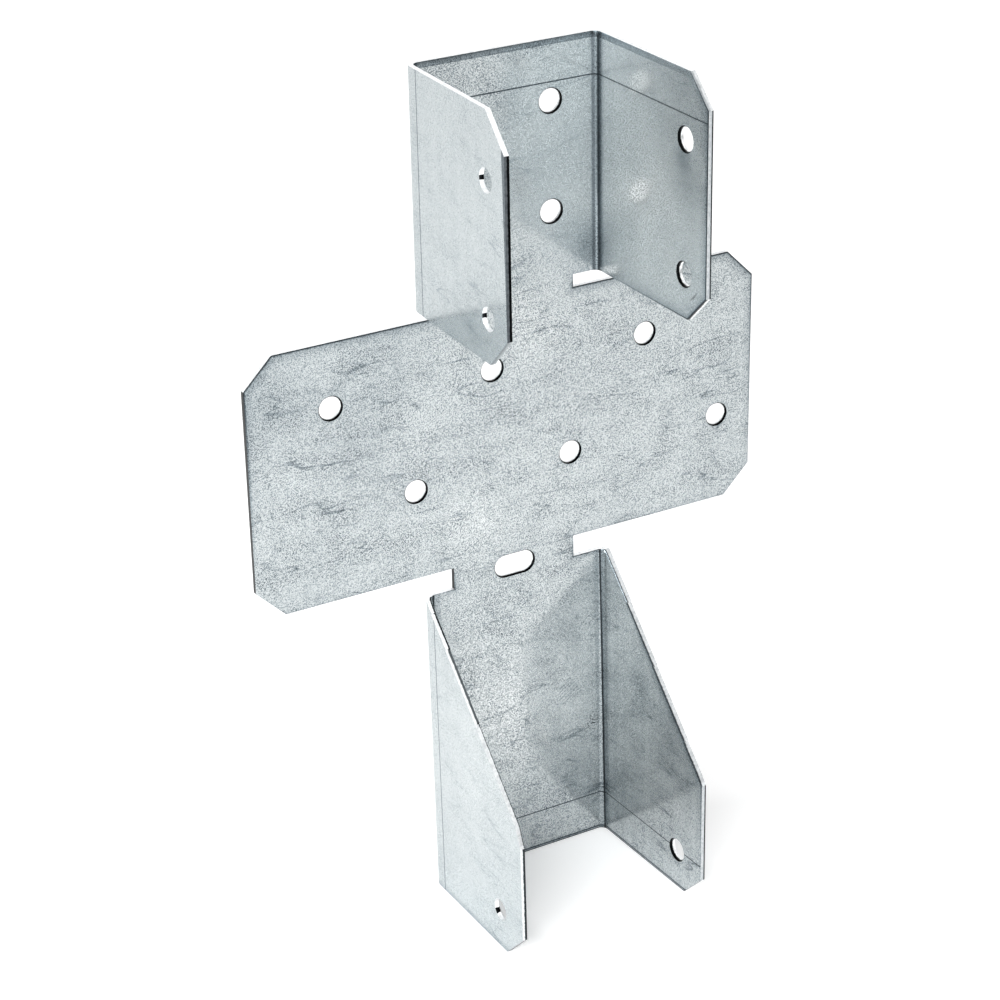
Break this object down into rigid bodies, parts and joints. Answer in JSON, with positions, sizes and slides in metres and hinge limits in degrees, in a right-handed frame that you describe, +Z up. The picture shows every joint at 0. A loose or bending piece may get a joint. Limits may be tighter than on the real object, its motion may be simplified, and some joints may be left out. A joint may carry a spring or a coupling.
{
  "type": "adjustable joist hanger",
  "caption": "Folded sheet-steel joist hanger: upper channel, wide drilled nailing plate and slotted neck above a lower channel with sloped flanges",
  "frame": {"origin": "On the back face of the sheet, at its bottom edge, under the middle of the neck and its slot.", "axes": "+X runs to the right along the nailing plate as seen from the side the flanges point to, +Y is the outward normal of the back face and runs away from that viewer, and +Z runs up along the length of the sheet."},
  "size_m": [0.1201, 0.0409, 0.1875],
  "materials": {
    "galvanised_sheet": "semi-gloss galvanised sheet with fine grain, faint clouds and rolling streaks"
  },
  "bodies": {
    "root": {"folded_hanger": "galvanised_sheet"}
  },
  "joints": []
}
